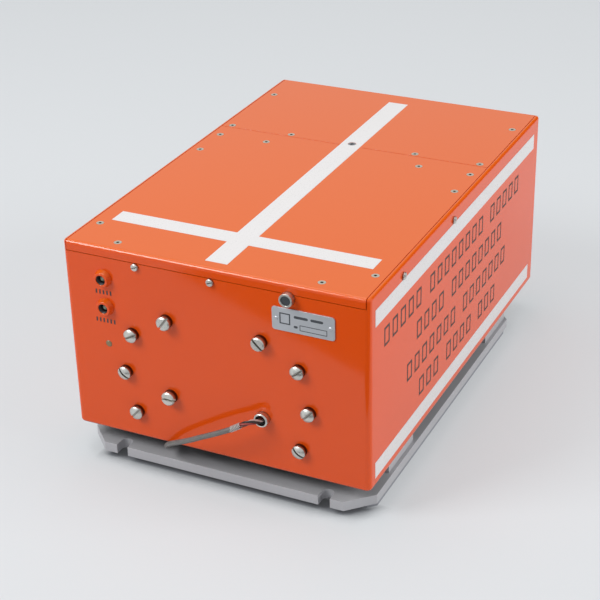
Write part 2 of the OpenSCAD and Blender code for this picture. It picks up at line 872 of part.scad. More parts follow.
// Closed can with a groove under its lid
module memory_canister() {
    color(steel) in_capsule(capsule_y + insulation_t) difference() {
        cylinder(d = memory_d, h = memory_l);
        translate([0, 0, memory_l - memory_lid_t - memory_groove]) difference() {
            cylinder(d = memory_d + over, h = memory_groove);
            cylinder(d = memory_d - 2 * memory_groove, h = memory_groove);
        }
    }
}

module ring_screws() {
    color(steel) for (p = ring_places)
        on_front(ring_r * cos(p[0]), ring_z + ring_r * sin(p[0])) {
            round_head(ring_head_d, ring_skirt_h, ring_dome_h, p[1]);
            shank(ring_screw_d, ring_screw_l);
        }
}

module clamp_screws() {
    color(steel) for (p = clamp_places) on_front(p[0], p[1]) {
        cheese_head(clamp_head_d, clamp_head_h, p[2]);
        shank(clamp_screw_d, clamp_screw_l);
    }
}

// Lead with its gland, grommet and terminal

module lead_gland() {
    color(steel) on_front(clamp_x, clamp_low_z) difference() {
        union() {
            shank(gland_thread_d, gland_l);
            cylinder(d = gland_d, h = gland_proud - gland_bevel);
            translate([0, 0, gland_proud - gland_bevel])
                cylinder(d1 = gland_d, d2 = gland_d - 2 * gland_bevel, h = gland_bevel);
        }
        translate([0, 0, bush_foot]) cylinder(d = gland_bore, h = bush_set_back + bush_l + over);
    }
}

// The lead ends on the floor of the bush's pocket
module gland_bush() {
    color(black) on_front(clamp_x, clamp_low_z) difference() {
        translate([0, 0, bush_foot]) cylinder(d = gland_bore - 2 * fit, h = bush_l);
        translate([0, 0, -lead_start[1]]) cylinder(d = lead_d + 2 * lead_room, h = bush_l);
    }
}

function unit(v) = v / norm(v);

function lead_tangent(i) =
    let (last = len(lead_route) - 1)
    unit(lead_route[min(i + 1, last)] - lead_route[max(i - 1, 0)]);

// Side vector of each ring, carried along the route so that the tube doesn't twist
function lead_side(i) =
    let (t = lead_tangent(i), s = i == 0 ? [1, 0, 0] : lead_side(i - 1))
    unit(s - (s * t) * t);

function lead_ring(i) =
    let (s = lead_side(i), w = cross(lead_tangent(i), s))
    [for (k = [0 : lead_sides - 1])
        let (a = 360 * k / lead_sides)
        lead_route[i] + (s * cos(a) + w * sin(a)) * lead_d / 2];

module lead() {
    rings = len(lead_route);
    points = [for (i = [0 : rings - 1]) each lead_ring(i)];
    walls = [for (i = [0 : rings - 2], k = [0 : lead_sides - 1])
        let (a = i * lead_sides + k, b = i * lead_sides + (k + 1) % lead_sides)
        [a, a + lead_sides, b + lead_sides, b]];
    start = [for (k = [0 : lead_sides - 1]) k];
    end = [for (k = [lead_sides - 1 : -1 : 0]) (rings - 1) * lead_sides + k];
    color("gray") in_case() polyhedron(points, concat([start], walls, [end]));
}

module lead_grommet() {
    color(black) in_case() translate([entry[0], entry[1], 0]) difference() {
        union() {
            translate([0, 0, -grommet_lip_t]) cylinder(d = grommet_lip_d, h = grommet_lip_t);
            cylinder(d = grommet_neck_d, h = floor_t);
            translate([0, 0, floor_t]) cylinder(d = grommet_lip_d, h = grommet_lip_t);
        }
        translate([0, 0, -grommet_lip_t - over])
            cylinder(d = grommet_bore, h = floor_t + 2 * grommet_lip_t + 2 * over);
    }
}

module lead_terminal() {
    color(black) on_floor(entry) difference() {
        translate([-terminal_w / 2, -terminal_l / 2, 0]) cube([terminal_w, terminal_l, terminal_h]);
        translate([0, 0, -over]) cylinder(d = grommet_lip_d + 4 * fit, h = entry[2] - floor_t + over);
    }
}

// Seal cup and its mastic

module seal_cup() {
    color(steel) on_front(lip_screw_x, lip_screw_z) difference() {
        cylinder(d = cup_d, h = cup_h);
        translate([0, 0, cup_floor]) cylinder(d = cup_bore, h = cup_h);
        translate([0, 0, -over]) cylinder(d = lip_screw_d + 2 * fit, h = cup_h + over);
    }
}

module seal_mastic() {
    color(black) on_front(lip_screw_x, lip_screw_z) translate([0, 0, cup_floor]) difference() {
        cylinder(d = cup_bore - 2 * fit, h = mastic_h);
        translate([0, 0, -over]) cylinder(d = lip_head_d + 2 * fit, h = lip_head_h + over);
    }
}

// Nameplate

module nameplate() {
    color(aluminium_grey) on_front(nameplate_x, nameplate_z) difference() {
        linear_extrude(nameplate_t) rounded_rect(nameplate_w, nameplate_h, nameplate_r);
        for (s = [-1, 1]) translate([s * rivet_x, 0, -over])
            cylinder(d = rivet_d + 2 * fit, h = nameplate_t + 2 * over);
    }
}

module nameplate_rivets() {
    color(aluminium_grey) for (s = [-1, 1]) on_front(nameplate_x + s * rivet_x, nameplate_z)
        translate([0, 0, nameplate_t]) {
            cylinder(d1 = rivet_head_d, d2 = rivet_d, h = rivet_head_h);
            shank(rivet_d, rivet_l);
        }
}

// Lamps in the front panel

module lamp_bezels() {
    color(orange) for (z = [lamp_high_z, lamp_low_z]) on_front(lamp_x, z) difference() {
        union() {
            cylinder(d1 = bezel_base_d, d2 = bezel_rim_d, h = bezel_h);
            shank(bezel_barrel_d, bezel_barrel_l);
        }
        translate([0, 0, -bezel_barrel_l - over])
            cylinder(d = bezel_bore, h = bezel_h + bezel_barrel_l + 2 * over);
    }
}

module lamps() {
    dome_r = lamp_d / 2;
    color(aluminium_grey) for (z = [lamp_high_z, lamp_low_z]) on_front(lamp_x, z)
        translate([0, 0, bezel_h - lamp_depth - dome_r]) {
            sphere(dome_r);
            shank(lamp_d, bezel_h - lamp_depth - dome_r + lamp_board_y);
            translate([0, 0, -bezel_h]) cylinder(d = bezel_bore - 2 * fit, h = lamp_collar_t);
        }
}

module pilot_lamp() {
    color(aluminium_grey) on_front(lamp_x, pilot_z) {
        cylinder(d1 = pilot_d, d2 = pilot_d - 2 * pilot_bevel, h = pilot_proud);
        shank(pilot_d, lamp_board_y);
    }
}

module lamp_board() {
    color(board_green) in_case() translate([lamp_board_left, lamp_board_y, lamp_board_low])
        cube([lamp_board_right - lamp_board_left, lamp_board_t, lamp_board_high - lamp_board_low]);
}

// Electronics on a tray behind the capsule

module board_tray() {
    color(aluminium_grey) difference() {
        on_floor([0, board_mid_y]) difference() {
            translate([-tray_w / 2, -tray_l / 2, 0]) cube([tray_w, tray_l, tray_wall_h]);
            translate([-tray_w / 2 + tray_t, -tray_l / 2 - over, tray_t])
                cube([tray_w - 2 * tray_t, tray_l + 2 * over, tray_wall_h]);
        }
        for (p = tray_screw_places) on_floor(p) translate([0, 0, tray_t]) bore(tray_screw_d, tray_t + over);
    }
}

module tray_screws() {
    color(steel) for (p = tray_screw_places) on_floor(p) translate([0, 0, tray_t]) {
        cheese_head(tray_head_d, tray_head_h, 0);
        shank(tray_screw_d, tray_t + floor_t);
    }
}

// Height of a board's underside above the floor
function board_z(level) = tray_t + first_spacer_l + level * (board_pitch + board_t);

// Board with a few blocks on it, each with its place, width and length as shares of the board's
// width and length, and its height as a share of the clear height
module circuit_board(level, blocks) {
    on_floor([0, board_mid_y]) translate([0, 0, board_z(level)]) {
        difference() {
            translate([-board_w / 2, -board_l / 2, 0]) cube([board_w, board_l, board_t]);
            hole_x = board_w / 2 - board_hole_inset;
            hole_y = board_l / 2 - board_hole_inset;
            for (s = [-1, 1], k = [-1, 1]) translate([s * hole_x, k * hole_y, -over])
                cylinder(d = board_screw_d + 2 * fit, h = board_t + 2 * over);
        }
        for (b = blocks)
            translate([(b[0] - b[2] / 2) * board_w, (b[1] - b[3] / 2) * board_l, board_t - fit])
                cube([b[2] * board_w, b[3] * board_l, b[4] * board_pitch + fit]);
    }
}

module power_board() {
    color(board_green) circuit_board(0, [[-0.21, -0.22, 0.36, 0.38, 0.56],
        [0.24, -0.25, 0.17, 0.23, 0.64], [0.24, 0.13, 0.21, 0.19, 0.72], [-0.23, 0.25, 0.26, 0.16, 0.48]]);
}

module processor_board() {
    color(board_green) circuit_board(1, [[0, 0, 0.24, 0.21, 0.14],
        [-0.29, 0, 0.1, 0.13, 0.06], [0.29, 0, 0.1, 0.13, 0.06], [0, 0.35, 0.5, 0.05, 0.36],
        [-0.26, -0.28, 0.16, 0.14, 0.1]]);
}

module interface_board() {
    color(board_green) circuit_board(2, [[0, 0.39, 0.64, 0.056, 0.4],
        [-0.26, 0.06, 0.17, 0.1, 0.32], [0, 0.06, 0.17, 0.1, 0.32], [0.26, 0.06, 0.17, 0.1, 0.32],
        [0, -0.28, 0.2, 0.18, 0.1]]);
}

module board_spacers() {
    color(steel) for (p = board_spacer_places, level = [0 : 2]) {
        foot = level == 0 ? tray_t : board_z(level - 1) + board_t;
        on_floor(p) translate([0, 0, foot]) difference() {
            cylinder(d = spacer_d, h = board_z(level) - foot, $fn = 6);
            translate([0, 0, -over]) cylinder(d = board_screw_d + 2 * fit, h = board_z(2) + 2 * over);
        }
    }
}

module board_screws() {
    top = board_z(2) + board_t;
    color(steel) for (p = board_spacer_places) on_floor(p) translate([0, 0, top]) {
        cheese_head(lip_head_d, lip_head_h, 45);
        shank(board_screw_d, top - tray_t - board_screw_short);
    }
}

// Rear connector and bonding stud

module rear_connector() {
    color(dark_steel) on_rear(socket_x, socket_z) translate([0, 0, gasket_t]) difference() {
        union() {
            linear_extrude(socket_flange_t) rounded_rect(socket_flange, socket_flange, socket_flange_r);
            cylinder(d = socket_d, h = socket_flange_t + socket_l);
            shank(socket_hole_d - 2 * fit, gasket_t + wall_t + socket_inner_l);
        }
        translate([0, 0, -gasket_t - wall_t - socket_inner_l + socket_wall])
            cylinder(d = socket_bore, h = case_d);
        for (p = socket_screw_places) translate([p[0], p[1], socket_flange_t])
            bore(socket_screw_d, socket_flange_t + over);
    }
}

module connector_insert() {
    base = -wall_t - socket_inner_l + socket_wall;
    face = gasket_t + socket_flange_t + socket_l - insert_depth;
    color(black) on_rear(socket_x, socket_z) difference() {
        translate([0, 0, base]) cylinder(d = socket_bore - 2 * fit, h = face - base);
        translate([0, 0, face]) {
            for (a = [0 : 45 : 315]) rotate(a) translate([contact_ring_r, 0, 0])
                bore(contact_d, contact_depth);
            bore(contact_d, contact_depth);
        }
    }
}

module connector_gasket() {
    color(black) on_rear(socket_x, socket_z) difference() {
        linear_extrude(gasket_t) rounded_rect(socket_flange, socket_flange, socket_flange_r);
        translate([0, 0, -over]) cylinder(d = socket_hole_d, h = gasket_t + 2 * over);
        for (p = socket_screw_places) translate([p[0], p[1], gasket_t])
            bore(socket_screw_d, gasket_t + over);
    }
}

module connector_screws() {
    color(steel) for (p = socket_screw_places) on_rear(socket_x + p[0], socket_z + p[1])
        translate([0, 0, gasket_t + socket_flange_t]) {
            cheese_head(socket_head_d, socket_head_h, 30);
            shank(socket_screw_d, socket_screw_l);
        }
}

module bonding_stud() {
    color(steel) on_rear(stud_x, stud_z) {
        translate([0, 0, -wall_t]) shank(stud_head_d, stud_head_h);
        translate([0, 0, -wall_t - over]) cylinder(d = stud_d, h = wall_t + over + stud_out - stud_tip);
        translate([0, 0, stud_out - stud_tip])
            cylinder(d1 = stud_d, d2 = stud_d - 2 * stud_tip, h = stud_tip);
    }
}

module bonding_nut() {
    color(steel) on_rear(stud_x, stud_z) difference() {
        union() {
            cylinder(d = stud_washer_d, h = stud_washer_t);
            translate([0, 0, stud_washer_t]) cylinder(d = stud_nut_w / cos(30), h = stud_nut_h, $fn = 6);
        }
        translate([0, 0, -over]) cylinder(d = stud_d + 2 * fit, h = stud_out);
    }
}

base_plate();
spacer_pads();
base_screws();
case_body();
left_rail();
right_rail();
rail_screws();
front_bar();
lip_screws();
seam_bar();
front_lid();
rear_lid();
front_lid_screws();
rear_lid_screws();
seam_screw();
top_marking();
right_marking();
left_marking();
capsule_body();
capsule_cap();
capsule_cap_screws();
insulation_cup();
insulation_plug();
memory_canister();
ring_screws();
clamp_screws();
lead_gland();
gland_bush();
lead();
lead_grommet();
lead_terminal();
seal_cup();
seal_mastic();
nameplate();
nameplate_rivets();
lamp_bezels();
lamps();
pilot_lamp();
lamp_board();
board_tray();
tray_screws();
power_board();
processor_board();
interface_board();
board_spacers();
board_screws();
rear_connector();
connector_insert();
connector_gasket();
connector_screws();
bonding_stud();
bonding_nut();
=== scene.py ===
import math

import bmesh
import bpy
from mathutils import Matrix, Vector


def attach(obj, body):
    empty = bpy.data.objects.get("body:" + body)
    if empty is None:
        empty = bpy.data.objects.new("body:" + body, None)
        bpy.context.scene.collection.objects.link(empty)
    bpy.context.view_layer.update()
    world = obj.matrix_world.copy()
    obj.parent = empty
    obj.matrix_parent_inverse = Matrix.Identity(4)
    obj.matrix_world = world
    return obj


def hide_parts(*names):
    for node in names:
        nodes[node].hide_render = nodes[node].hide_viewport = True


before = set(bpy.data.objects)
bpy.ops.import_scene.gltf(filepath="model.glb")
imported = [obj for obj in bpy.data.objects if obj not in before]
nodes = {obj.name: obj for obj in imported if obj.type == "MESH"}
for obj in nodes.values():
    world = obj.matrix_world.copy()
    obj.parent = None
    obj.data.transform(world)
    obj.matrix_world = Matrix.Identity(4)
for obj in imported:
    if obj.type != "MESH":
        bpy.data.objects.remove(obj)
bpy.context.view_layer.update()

# Camera
# A long lens looks down on the front right corner of the case from a little over a metre away,
# with a slight tilt.
azimuth, elevation, tilt = (math.radians(a) for a in (26.01, 27.77, -1.36))
eye = Vector((0.4710, -0.9858, 0.6458))
back = Vector((math.sin(azimuth) * math.cos(elevation), -math.cos(azimuth) * math.cos(elevation),
               math.sin(elevation)))
level = Vector((math.cos(azimuth), math.sin(azimuth), 0))
upright = back.cross(level)
across = level * math.cos(tilt) + upright * math.sin(tilt)
above = upright * math.cos(tilt) - level * math.sin(tilt)
lens = bpy.data.cameras.new("long_lens")
lens.sensor_fit = "HORIZONTAL"
lens.sensor_width = 36
lens.lens = 94.35
lens.clip_end = 50
camera = bpy.data.objects.new("camera", lens)
camera.matrix_world = Matrix((across, above, back)).transposed().to_4x4()
camera.matrix_world.translation = eye
bpy.context.scene.collection.objects.link(camera)
bpy.context.scene.camera = camera

# Lead
# A short bundle of four insulated wires comes out of the gland. A thread binding ends the woven
# sleeve that covers the wires from there across the front and up into the case floor.
mm = 0.001
case_corner = Vector((0, -159, 20.5))
gland_place = (36.9, 41.6)
entry_x = -44.5
entry_y = 41.5
stand_h = 13
# Each point gives its share of the way across, its depth, and its height as a share of the
# gland's height above the case bottom, or of the stand's height below it.
lead_path = [
    (0, -1, 1), (0, -4.5, 1), (0.009, -8.8, 1.036), (0.04, -12, 1.058), (0.09, -13.8, 1.026),
    (0.144, -14.6, 0.966), (0.231, -15.4, 0.864), (0.354, -15.9, 0.738), (0.441, -15.7, 0.649),
    (0.532, -15, 0.553), (0.622, -14.2, 0.452), (0.716, -12.9, 0.351), (0.819, -10.6, 0.238),
    (0.902, -7.4, 0.13), (0.955, -3.6, 0.02), (0.988, 1, -0.231), (1, 9, -0.5), (1, 17, -0.577),
    (1, 25, -0.577), (1, 31, -0.538), (1, 36.5, -0.385), (1, 40, -0.115), (1, entry_y, 0.096),
    (1, entry_y, 0.192)]


def spot(x, y, z):
    """A point given in mm from the centre line, the front face and the case bottom."""
    return (Vector((x, y, z)) + case_corner) * mm


def smooth_line(points, steps):
    """A curve through the points, with that many steps between neighbours."""
    line = []
    for i in range(len(points) - 1):
        a, b = points[max(i - 1, 0)], points[i]
        c, d = points[i + 1], points[min(i + 2, len(points) - 1)]
        for k in range(steps):
            t = k / steps
            line.append(0.5 * (2 * b + (c - a) * t + (2 * a - 5 * b + 4 * c - d) * t ** 2
                               + (3 * b - a - 3 * c + d) * t ** 3))
    return line + [points[-1]]


def travel(line):
    """For each point of a line: the point, the length so far, and two vectors across the line."""
    rows = []
    side = Vector((1, 0, 0))
    run = 0.0
    for i, point in enumerate(line):
        heading = (line[min(i + 1, len(line) - 1)] - line[max(i - 1, 0)]).normalized()
        side = (side - heading * side.dot(heading)).normalized()
        run += (point - line[i - 1]).length if i else 0.0
        rows.append((point, run, side, heading.cross(side)))
    return rows


def skin(bm, rings, closed=False, finish=0):
    """Faces between neighbouring rings of points, with the two ends filled or joined."""
    loops = [[bm.verts.new(p) for p in ring] for ring in rings]
    pairs = list(zip(loops, loops[1:])) + ([(loops[-1], loops[0])] if closed else [])
    faces = [] if closed else [loops[0][::-1], loops[-1]]
    for first, second in pairs:
        for k in range(len(first)):
            j = (k + 1) % len(first)
            faces.append((first[k], first[j], second[j], second[k]))
    for corners in faces:
        bm.faces.new(corners).material_index = finish


def turns(count):
    """The angles of that many even steps round a circle."""
    return [2 * math.pi * k / count for k in range(count)]


def ring_at(point, u, v, radius, sides):
    """A ring of points round a point, in the plane of two vectors."""
    return [point + (u * math.cos(a) + v * math.sin(a)) * radius for a in turns(sides)]


def tube(bm, line, radius, sides, finish=0):
    """A closed tube of one radius along a line of points."""
    skin(bm, [ring_at(p, u, v, radius, sides) for p, run, u, v in travel(line)], finish=finish)


def make_piece(name, bm, material, replaced=(), smooth=True):
    """An object from mesh data, with its finish, riding on the part."""
    bmesh.ops.recalc_face_normals(bm, faces=bm.faces)
    mesh = bpy.data.meshes.new(name)
    bm.to_mesh(mesh)
    bm.free()
    mesh.polygons.foreach_set("use_smooth", [smooth] * len(mesh.polygons))
    for finish in material if isinstance(material, list) else [material]:
        mesh.materials.append(finish)
    made = bpy.data.objects.new(name, mesh)
    bpy.context.scene.collection.objects.link(made)
    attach(made, "root")
    if replaced:
        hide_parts(*replaced)
    return made


def linear(hex_colour):
    """An sRGB hex colour as linear values."""
    parts = [int(hex_colour[i:i + 2], 16) / 255 for i in (1, 3, 5)]
    return [p / 12.92 if p <= 0.04045 else ((p + 0.055) / 1.055) ** 2.4 for p in parts] + [1]


def add(tree, kind, inputs=None, **settings):
    """A node with its settings. Each input is a value, or a socket that it is linked from."""
    made = tree.nodes.new("ShaderNode" + kind)
    for key, value in settings.items():
        setattr(made, key, value)
    for key, value in (inputs or {}).items():
        if isinstance(value, bpy.types.NodeSocket):
            tree.links.new(value, made.inputs[key])
        else:
            made.inputs[key].default_value = value
    return made


def surface(name, low, high, drift, grain, rough, relief, metallic=0.0, stretch=(1, 1, 1),
            painted_shade=None, **sockets):
    """A finish whose colour drifts between two hex values over `drift` mm, with a grain of
    `grain` mm that gives the roughness its range and a relief `relief` mm deep. Painted shade,
    given as a hex colour and a reach in mm, darkens slots, corners and feet."""
    material = bpy.data.materials.new(name)
    material.use_nodes = True
    tree = material.node_tree
    shader = tree.nodes["Principled BSDF"]
    where = add(tree, "TexCoord").outputs["Object"]
    drawn = add(tree, "Mapping", {"Vector": where, "Scale": stretch}).outputs[0]
    patches = add(tree, "TexNoise", {"Vector": where, "Scale": 1 / (drift * mm), "Detail": 3.0})
    fine = add(tree, "TexNoise", {"Vector": drawn, "Scale": 1 / (grain * mm), "Detail": 2.0})
    tone = add(tree, "Mix", {0: patches.outputs[0], 6: linear(low), 7: linear(high)},
               data_type="RGBA")
    smoothest, roughest = 0.3, 0.7
    sheen = add(tree, "MapRange", {0: fine.outputs[0], 1: smoothest, 2: roughest,
                                   3: rough[0], 4: rough[1]})
    dents = add(tree, "Bump", {"Height": fine.outputs[0], "Strength": 1.0,
                               "Distance": relief * mm})
    # Painted shade: the colour darkens towards the shade hex where little open air lies within
    # reach.
    if painted_shade:
        shade_hex, reach = painted_shade
        hidden, open_enough = 0.3, 0.75
        air = add(tree, "AmbientOcclusion", {"Distance": reach * mm}, samples=8)
        unshaded = add(tree, "MapRange", {0: air.outputs["AO"], 1: hidden, 2: open_enough,
                                       3: 0.0, 4: 1.0}, name="unshaded")
        tone = add(tree, "Mix", {0: unshaded.outputs[0], 6: linear(shade_hex), 7: tone.outputs[2]},
                   data_type="RGBA")
    tree.links.new(tone.outputs[2], shader.inputs["Base Color"])
    tree.links.new(sheen.outputs[0], shader.inputs["Roughness"])
    tree.links.new(dents.outputs[0], shader.inputs["Normal"])
    shader.inputs["Metallic"].default_value = metallic
    for key, value in sockets.items():
        socket = key.replace("_", " ").title().replace("Ior", "IOR")
        shader.inputs[socket].default_value = value
    return material


# Woven sleeve of tinned wire and glass yarn: the crossing strands break its shine into a soft
# grey streak along the top. PVC wire covers are smooth and a little glossy, waxed thread is dull.
woven_sleeve = surface("woven_sleeve", "#6F6D6B", "#8B8986", 6, 0.4, (0.3, 0.5), 0.02, 0.35)
wire_covers = [surface("pvc_" + shade, low, high, 3, 0.6, (0.3, 0.42), 0.004)
               for shade, low, high in (("brown", "#5E2A22", "#6E342A"),
                                        ("red", "#8A2F2A", "#9B3A33"),
                                        ("black", "#211E1D", "#2B2826"),
                                        ("rose", "#B59A94", "#C4AAA3"))]
waxed_thread = surface("waxed_thread", "#B9B0AB", "#CFC7C2", 2, 0.3, (0.5, 0.65), 0.03)

route = [spot(gland_place[0] + p[0] * (entry_x - gland_place[0]), p[1],
              p[2] * (gland_place[1] if p[2] > 0 else stand_h)) for p in lead_path]
route_steps = 12
centre_line = smooth_line(route, route_steps)
trail = travel(centre_line)
sleeve_start = 22.5 * mm


def trail_at(run):
    """The point and cross vectors of the lead at a length along it."""
    for (p, a, u, v), (q, b, s, t) in zip(trail, trail[1:]):
        if b >= run:
            k = (run - a) / (b - a)
            return p.lerp(q, k), u.lerp(s, k).normalized(), v.lerp(t, k).normalized()
    return trail[-1][0], trail[-1][2], trail[-1][3]


sleeve = bmesh.new()
core_r, sleeve_core_r, core_sides = 0.8 * mm, 1.76 * mm, 16
skin(sleeve, [ring_at(p, u, v, core_r if run < sleeve_start else sleeve_core_r, core_sides)
              for p, run, u, v in trail])
strands = 8
strand_lay = 10.5 * mm
strand_w, strand_t = 0.98 * mm, 0.15 * mm
weave_r, weave_swing = 1.83 * mm, 0.09 * mm
weave_step = strand_lay / (4 * strands)
weave_count = int((trail[-1][1] - sleeve_start) / weave_step)
for turn in (1, -1):
    for strand in range(strands):
        middles = []
        for k in range(weave_count):
            run = sleeve_start + k * weave_step
            p, u, v = trail_at(run)
            angle = 2 * math.pi * (strand / strands + turn * k * weave_step / strand_lay)
            out = u * math.cos(angle) + v * math.sin(angle)
            lift = weave_r + turn * weave_swing * math.cos(math.pi * k / 2)
            middles.append((p + out * lift, out))
        rings = []
        for k, (p, out) in enumerate(middles):
            heading = middles[min(k + 1, weave_count - 1)][0] - middles[max(k - 1, 0)][0]
            flat = heading.cross(out).normalized()
            rings.append([p - flat * strand_w / 2, p - out * strand_t / 2,
                          p + flat * strand_w / 2, p + out * strand_t / 2])
        skin(sleeve, rings)


def wound(start, length, first_angle, rounds, radius, steps):
    """A line that winds round the lead, from a length along it."""
    line = []
    for i in range(steps + 1):
        share = i / steps
        p, u, v = trail_at(start + share * length)
        angle = first_angle + 2 * math.pi * rounds * share
        line.append(p + (u * math.cos(angle) + v * math.sin(angle)) * radius)
    return line


wire_r, wire_sides, wire_ring, wire_lay = 0.74 * mm, 10, 1.16 * mm, 26 * mm
wire_l, wire_steps = 24.5 * mm, 48
for k in range(len(wire_covers)):
    first_angle = 2 * math.pi * (k + 0.5) / len(wire_covers)
    wire = wound(0, wire_l, first_angle, wire_l / wire_lay, wire_ring, wire_steps)
    tube(sleeve, wire, wire_r, wire_sides, finish=1 + k)
lead = make_piece("lead_sleeve", sleeve, [woven_sleeve, *wire_covers], ["lead"])

binding = bmesh.new()
thread_r, thread_sides, binding_ring = 0.32 * mm, 8, 1.98 * mm
binding_l, binding_on_wires = 8.6 * mm, 1.8 * mm
binding_rounds, binding_steps = 7, 140
tube(binding, wound(sleeve_start - binding_on_wires, binding_l, 0, binding_rounds, binding_ring,
                    binding_steps), thread_r, thread_sides)
lead_binding = make_piece("lead_binding", binding, waxed_thread)


def dress(material, *names):
    """Gives solids of the frame their finish."""
    for name in names:
        slot = nodes[name].material_slots[0]
        slot.link = "OBJECT"
        slot.material = material


def soften(name, width, material, segments=2, sharp=30):
    """A copy of a solid of the frame with its sharp edges broken by `width` mm, in its place."""
    bm = bmesh.new()
    bm.from_mesh(nodes[name].data)
    same_point, same_plane = 1e-6, math.radians(0.5)
    bmesh.ops.remove_doubles(bm, verts=bm.verts, dist=same_point)
    bmesh.ops.dissolve_limit(bm, angle_limit=same_plane, verts=bm.verts, edges=bm.edges)
    edges = [e for e in bm.edges
             if len(e.link_faces) == 2 and e.calc_face_angle() > math.radians(sharp)]
    bmesh.ops.bevel(bm, geom=edges, offset=width * mm, offset_type="OFFSET", segments=segments,
                    profile=0.5, affect="EDGES", clamp_overlap=True)
    made = make_piece(name + "_eased", bm, material, [name])
    normals = made.data.attributes.get("custom_normal")
    if normals:
        made.data.attributes.remove(normals)
    made.modifiers.new("flat_faces", "WEIGHTED_NORMAL").keep_sharp = True
    return made


# Nickel plated steel: bright, a little warm, with soft streaks left by the turning tool and
# painted shade darkening its slots and round its foot.
plated_steel = surface("plated_steel", "#C4C3BD", "#D8D7D1", 3, 0.7, (0.26, 0.4), 0.004, 1.0,
                       painted_shade=("#2A211D", 5))
# Black rubber is matt and even, moulded plastic has a fine satin grain.
black_rubber = surface("black_rubber", "#141414", "#1E1D1D", 5, 0.5, (0.55, 0.75), 0.01)
black_plastic = surface("moulded_black_plastic", "#18181A", "#212124", 8, 0.4, (0.4, 0.55), 0.006)
soften("lead_gland", 0.25, plated_steel)
dress(black_rubber, "gland_bush", "lead_grommet")
dress(black_plastic, "lead_terminal")

# Mounting plate
# A thick aluminium plate with cut corners and open bolt notches, spaced off the case by four
# pads. Eight countersunk screws from below hold plate, pads and case together.

# Satin grey enamel over machined metal: soft sheen, faint cloudiness and a fine grain.
grey_enamel = surface("satin_grey_enamel", "#ABAAAD", "#B5B4B7", 30, 0.9, (0.36, 0.5), 0.012)
soften("base_plate", 0.5, grey_enamel)
soften("spacer_pads", 0.4, grey_enamel)
dress(plated_steel, "base_screws")

# Case and lids
# A folded and welded tub of sheet metal takes two lids that lie flush between its side walls.
# Each lid has one edge bent down over an end wall.


def shade_in(material, kind, axis, none, full, shade):
    """Blends a hex shade into a finish, from none to full between two values of one axis of its
    normals or of its places."""
    tree = material.node_tree
    colour = tree.nodes["Principled BSDF"].inputs["Base Color"]
    measure = add(tree, "SeparateXYZ", {0: add(tree, "TexCoord").outputs[kind]}).outputs[axis]
    share = add(tree, "MapRange", {0: measure, 1: none, 2: full, 3: 0.0, 4: 1.0})
    mixed = add(tree, "Mix", {0: share.outputs[0], 6: colour.links[0].from_socket,
                              7: linear(shade)}, data_type="RGBA")
    tree.links.new(mixed.outputs[2], colour)


def orange_paint(name, *shades):
    """The enamel, with painted light blended in above, and primer with painted shade below."""
    paint = surface(name, "#DB4B0A", "#DF4F0C", 70, 1.6, (0.06, 0.12), 0.0025, ior=1.46)
    for none, full, shade in shades:
        shade_in(paint, "Normal", "Z", none, full, shade)
    return paint


# Gloss orange enamel: a deep even colour under a clear reflection, which the slight orange peel
# of the spray softens. The peel of about 0.3 mm is drawn at 1.6 mm so that it shows. Faces that
# look up get a painted light, a little towards yellow, and the underside has dark primer with
# painted shade on the faces that look down.
painted_top_light, primer_and_painted_shade = (0.3, 1.0, "#D85F0C"), (-0.3, -0.85, "#26211F")
orange_enamel = orange_paint("gloss_orange_enamel", painted_top_light)
dress(orange_paint("primed_and_shaded_orange_enamel", painted_top_light, primer_and_painted_shade), "case_body")
soften("front_lid", 0.2, orange_enamel)
soften("rear_lid", 0.2, orange_enamel)

# Rails and bars
# Machined aluminium bars inside the case take the lid screws: a rail along each side wall, one
# bar behind the front lip and one under the seam of the lids.

# Machined aluminium: pale grey with fine cutter lines along its length.
machined_aluminium = surface("machined_aluminium", "#B4B7BA", "#C6C8CB", 20, 0.25, (0.28, 0.42),
                             0.004, 1.0, stretch=(1, 0.04, 1))
dress(machined_aluminium, "left_rail", "right_rail", "front_bar", "seam_bar")

# Lid and wall screws
# Small countersunk screws with hexagon sockets hold the lids, pan heads hold the rails and the
# front bar. A larger screw sits in the middle of the seam.

# Passivated zinc plate: pale metal with a straw tint, and painted shade in its sockets and corners.
zinc_plate = surface("passivated_zinc_plate", "#C2BEAE", "#D6D1C0", 4, 0.6, (0.25, 0.4), 0.004, 1.0,
                     painted_shade=("#2B2420", 2.5))
# Bare steel: mid grey and dull.
bare_steel = surface("bare_steel", "#8E8F92", "#9C9DA0", 6, 0.5, (0.35, 0.5), 0.004, 1.0)
dress(zinc_plate, "front_lid_screws", "rear_lid_screws")
dress(bare_steel, "seam_screw")
soften("rail_screws", 0.12, plated_steel)
soften("lip_screws", 0.12, plated_steel)

# Markings
# Strips of white reflective film are cut to length and stuck on the lids and the sides, so that
# the part is easy to find.

# Reflective film: a clear layer over glass beads, so that it is an even soft white with a
# very fine cell pattern. The cells of 0.1 mm are drawn at 0.8 mm so that they show.
reflective_film = surface("reflective_film", "#D7D4D3", "#DBD8D7", 25, 0.8, (0.25, 0.38), 0.0015)
dress(reflective_film, "top_marking", "right_marking", "left_marking")

# Painted marks
# Four rows of plain open boxes are painted on the right side between its two stripes, in groups
# of three to eight boxes.
paint_t, paint_sink = 0.04, 0.01
case_half_w = 118


def box_outline(bm, place, low, high, line_w):
    """A painted empty box between two corners in mm."""
    corners = ((low[0], low[1]), (high[0], low[1]), (high[0], high[1]), (low[0], high[1]))
    grow = ((-1, -1), (1, -1), (1, 1), (-1, 1))
    profile = ((0, -paint_sink), (0, paint_t), (line_w, paint_t), (line_w, -paint_sink))
    skin(bm, [[place(u - g * inset, v - h * inset, out) for (u, v), (g, h) in zip(corners, grow)]
              for inset, out in profile], closed=True)


def side_place(u, v, out):
    """On the right side: u to the rear, v up."""
    return spot(case_half_w + out, u, v)


